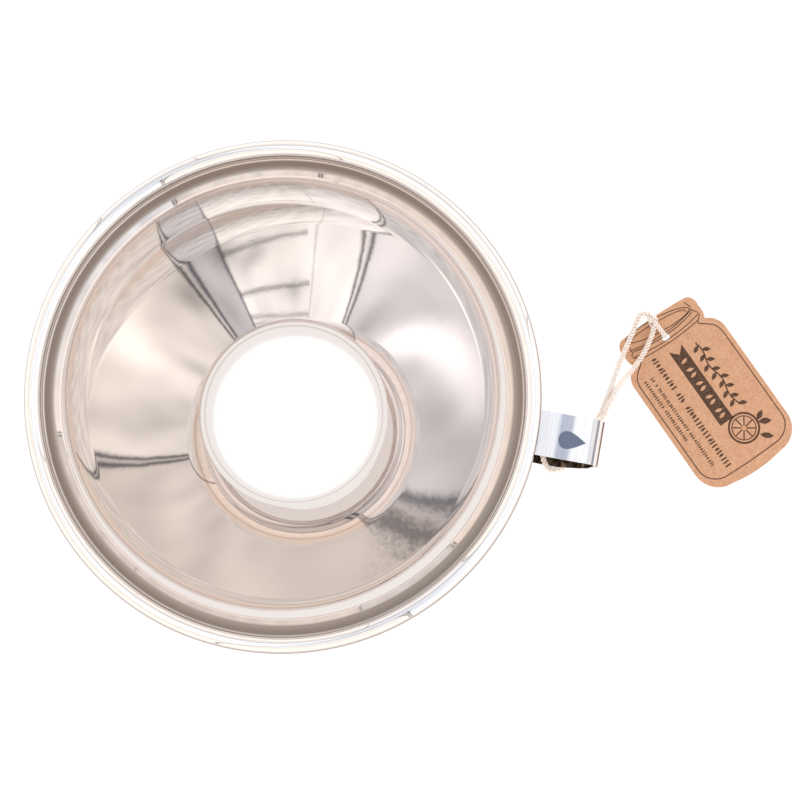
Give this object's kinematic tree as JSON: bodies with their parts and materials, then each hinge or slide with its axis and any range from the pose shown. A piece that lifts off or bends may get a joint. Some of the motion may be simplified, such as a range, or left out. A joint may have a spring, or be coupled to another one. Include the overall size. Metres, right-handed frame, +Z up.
{
  "type": "canning funnel",
  "caption": "Wide-mouth steel canning funnel with a stepped rim, a flat strap handle and a card hang tag on a twine loop.",
  "frame": {"origin": "funnel axis at the spout's lower edge, on the surface the funnel stands on", "axes": "+Z up the funnel's axis out of the wide mouth, +X along the handle strap"},
  "size_m": [0.2148, 0.138, 0.0583],
  "materials": {
    "polished_steel": "bright polished stainless steel",
    "brushed_strap": "fine brushed stainless steel",
    "weld_steel": "resistance spot weld, slightly heat tinted",
    "kraft_card": "uncoated kraft card, printed in dark brown",
    "cotton_twine": "twisted natural cotton"
  },
  "bodies": {
    "root": {"funnel_body": "polished_steel", "handle_strap": "brushed_strap", "spot_welds": "weld_steel", "hang_tag": "kraft_card", "twine": "cotton_twine", "twine_knot": "cotton_twine"}
  },
  "joints": []
}
